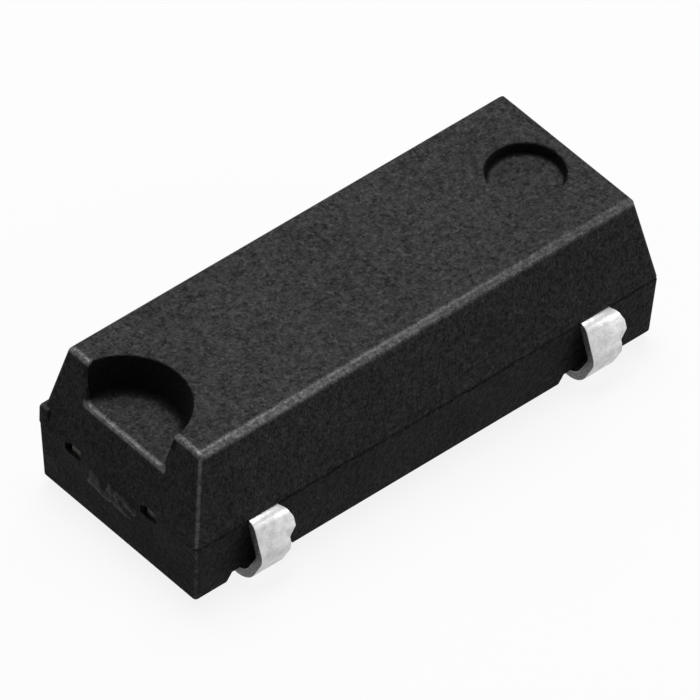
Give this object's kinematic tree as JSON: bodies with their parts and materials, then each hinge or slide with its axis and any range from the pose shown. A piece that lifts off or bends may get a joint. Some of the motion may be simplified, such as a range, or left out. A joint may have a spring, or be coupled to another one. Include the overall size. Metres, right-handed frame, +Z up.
{
  "type": "crystal resonator",
  "caption": "Surface-mount tuning-fork crystal resonator in a black moulded package with J-bent tinned leads and a half-round index notch.",
  "frame": {"origin": "centre of the footprint, on the plane that the lead feet stand on", "axes": "+X along the package away from the index notch, +Y across it towards lead 3 and lead 4, +Z up"},
  "size_m": [0.008, 0.0038, 0.0025],
  "materials": {
    "black_epoxy": "matt, finely grained moulded epoxy",
    "tinned_lead": "satin tin plate",
    "cut_lead_frame": "bare sheared copper alloy",
    "nickel_silver": "drawn and plated metal can",
    "plated_base": "tin-plated metal ring",
    "sealing_glass": "fused glass bead",
    "plated_pin": "tin-plated wire",
    "solder": "dull solder",
    "quartz": "etched clear crystal blank"
  },
  "bodies": {
    "root": {"moulded_body": "black_epoxy", "lead_1": "tinned_lead", "lead_2": "tinned_lead", "lead_3": "tinned_lead", "lead_4": "tinned_lead", "tie_bar_1": "cut_lead_frame", "tie_bar_2": "cut_lead_frame", "tie_bar_3": "cut_lead_frame", "tie_bar_4": "cut_lead_frame", "crystal_can": "nickel_silver", "base_ring": "plated_base", "glass_seal": "sealing_glass", "pin_1": "plated_pin", "pin_4": "plated_pin", "fork_bond_1": "solder", "fork_bond_4": "solder", "quartz_fork": "quartz"}
  },
  "joints": []
}
